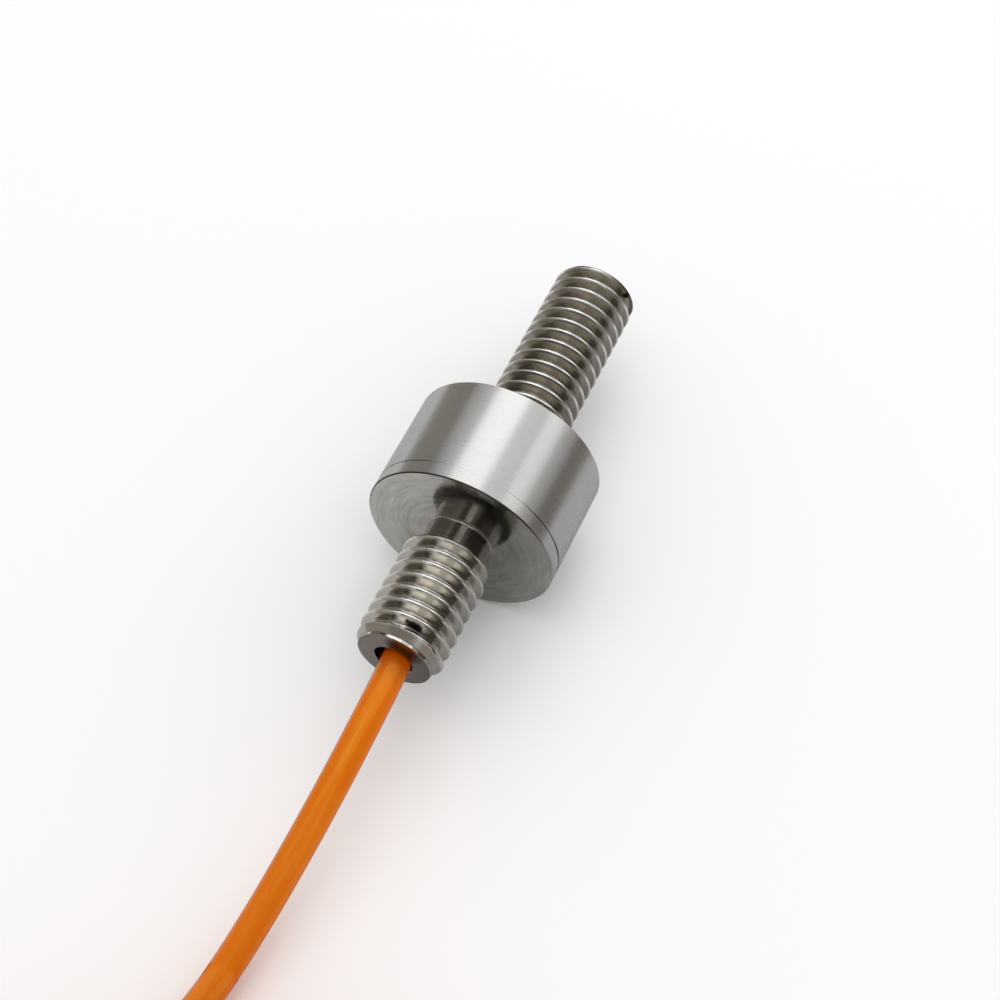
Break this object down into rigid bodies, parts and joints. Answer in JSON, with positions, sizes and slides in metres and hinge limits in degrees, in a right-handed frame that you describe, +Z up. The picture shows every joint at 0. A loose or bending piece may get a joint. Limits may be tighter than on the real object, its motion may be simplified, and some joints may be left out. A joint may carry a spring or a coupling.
{
  "type": "in-line load cell",
  "caption": "Miniature in-line load cell: a short turned steel cylinder with a threaded stud on each end and an orange cable out of the hollow lower stud, its spare length tied up.",
  "frame": {"origin": "on the surface it lies on, below the middle of the cell's length from stud end to stud end", "axes": "+X along the load axis towards the end of the solid upper stud, +Z up; the cable leaves towards -X"},
  "size_m": [0.1114, 0.023, 0.013],
  "materials": {
    "stainless_steel": "fine turned, bare",
    "orange_jacket": "satin, extruded",
    "resin": "cast, dark",
    "crimp": "pressed",
    "board": "green laminate",
    "gauge_film": "amber film",
    "jumper_wire": "enamelled copper",
    "resistor_body": "dark chip",
    "tinned_metal": "tinned, satin",
    "tie": "moulded nylon, black",
    "red_insulation": "extruded",
    "black_insulation": "extruded",
    "green_insulation": "extruded",
    "white_insulation": "extruded"
  },
  "bodies": {
    "root": {"upper_housing": "stainless_steel", "sensing_element": "stainless_steel", "cable_in_stud": "orange_jacket", "cable_free": "orange_jacket", "cable_hank": "orange_jacket", "bore_potting": "resin", "cable_crimp_ring": "crimp", "bridge_board": "board", "strain_gauge_1": "gauge_film", "strain_gauge_2": "gauge_film", "strain_gauge_3": "gauge_film", "strain_gauge_4": "gauge_film", "gauge_wires_1": "jumper_wire", "gauge_wires_2": "jumper_wire", "gauge_wires_3": "jumper_wire", "gauge_wires_4": "jumper_wire", "zero_balance_resistor": "resistor_body", "span_resistor": "resistor_body", "temperature_resistor": "resistor_body", "gauge_solder_joints": "tinned_metal", "core_solder_joints": "tinned_metal", "tinned_tips": "tinned_metal", "shield_lead": "tinned_metal", "hank_tie": "tie", "red_core": "red_insulation", "red_lead": "red_insulation", "black_core": "black_insulation", "black_lead": "black_insulation", "green_core": "green_insulation", "green_lead": "green_insulation", "white_core": "white_insulation", "white_lead": "white_insulation"}
  },
  "joints": []
}
